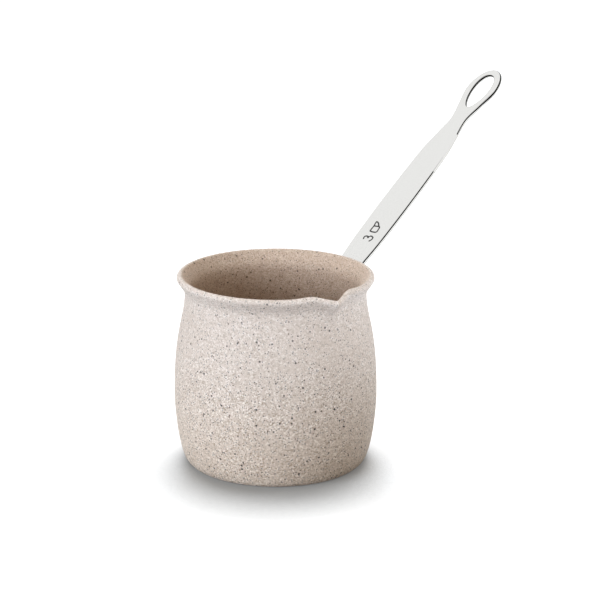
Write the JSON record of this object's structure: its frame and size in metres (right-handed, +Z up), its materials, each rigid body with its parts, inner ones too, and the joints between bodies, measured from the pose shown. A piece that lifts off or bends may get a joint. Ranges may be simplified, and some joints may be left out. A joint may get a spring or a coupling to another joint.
{
  "type": "turkish coffee pot",
  "caption": "Small lipped pot for brewing coffee over heat, with a pouring spout pressed into the lip and a rising strap handle that ends in a hanging eye.",
  "frame": {"origin": "centre of the flat standing face under the pot", "axes": "+Z up along the pot's axis, +X toward the handle's tip; the spout is on the -Y side"},
  "size_m": [0.1689, 0.0862, 0.1499],
  "materials": {
    "coating": "matte",
    "strap_steel": "polished",
    "rivet_metal": "satin"
  },
  "bodies": {
    "root": {"pot_body": "coating", "handle": "strap_steel", "rivet_upper": "rivet_metal", "rivet_lower": "rivet_metal"}
  },
  "joints": []
}
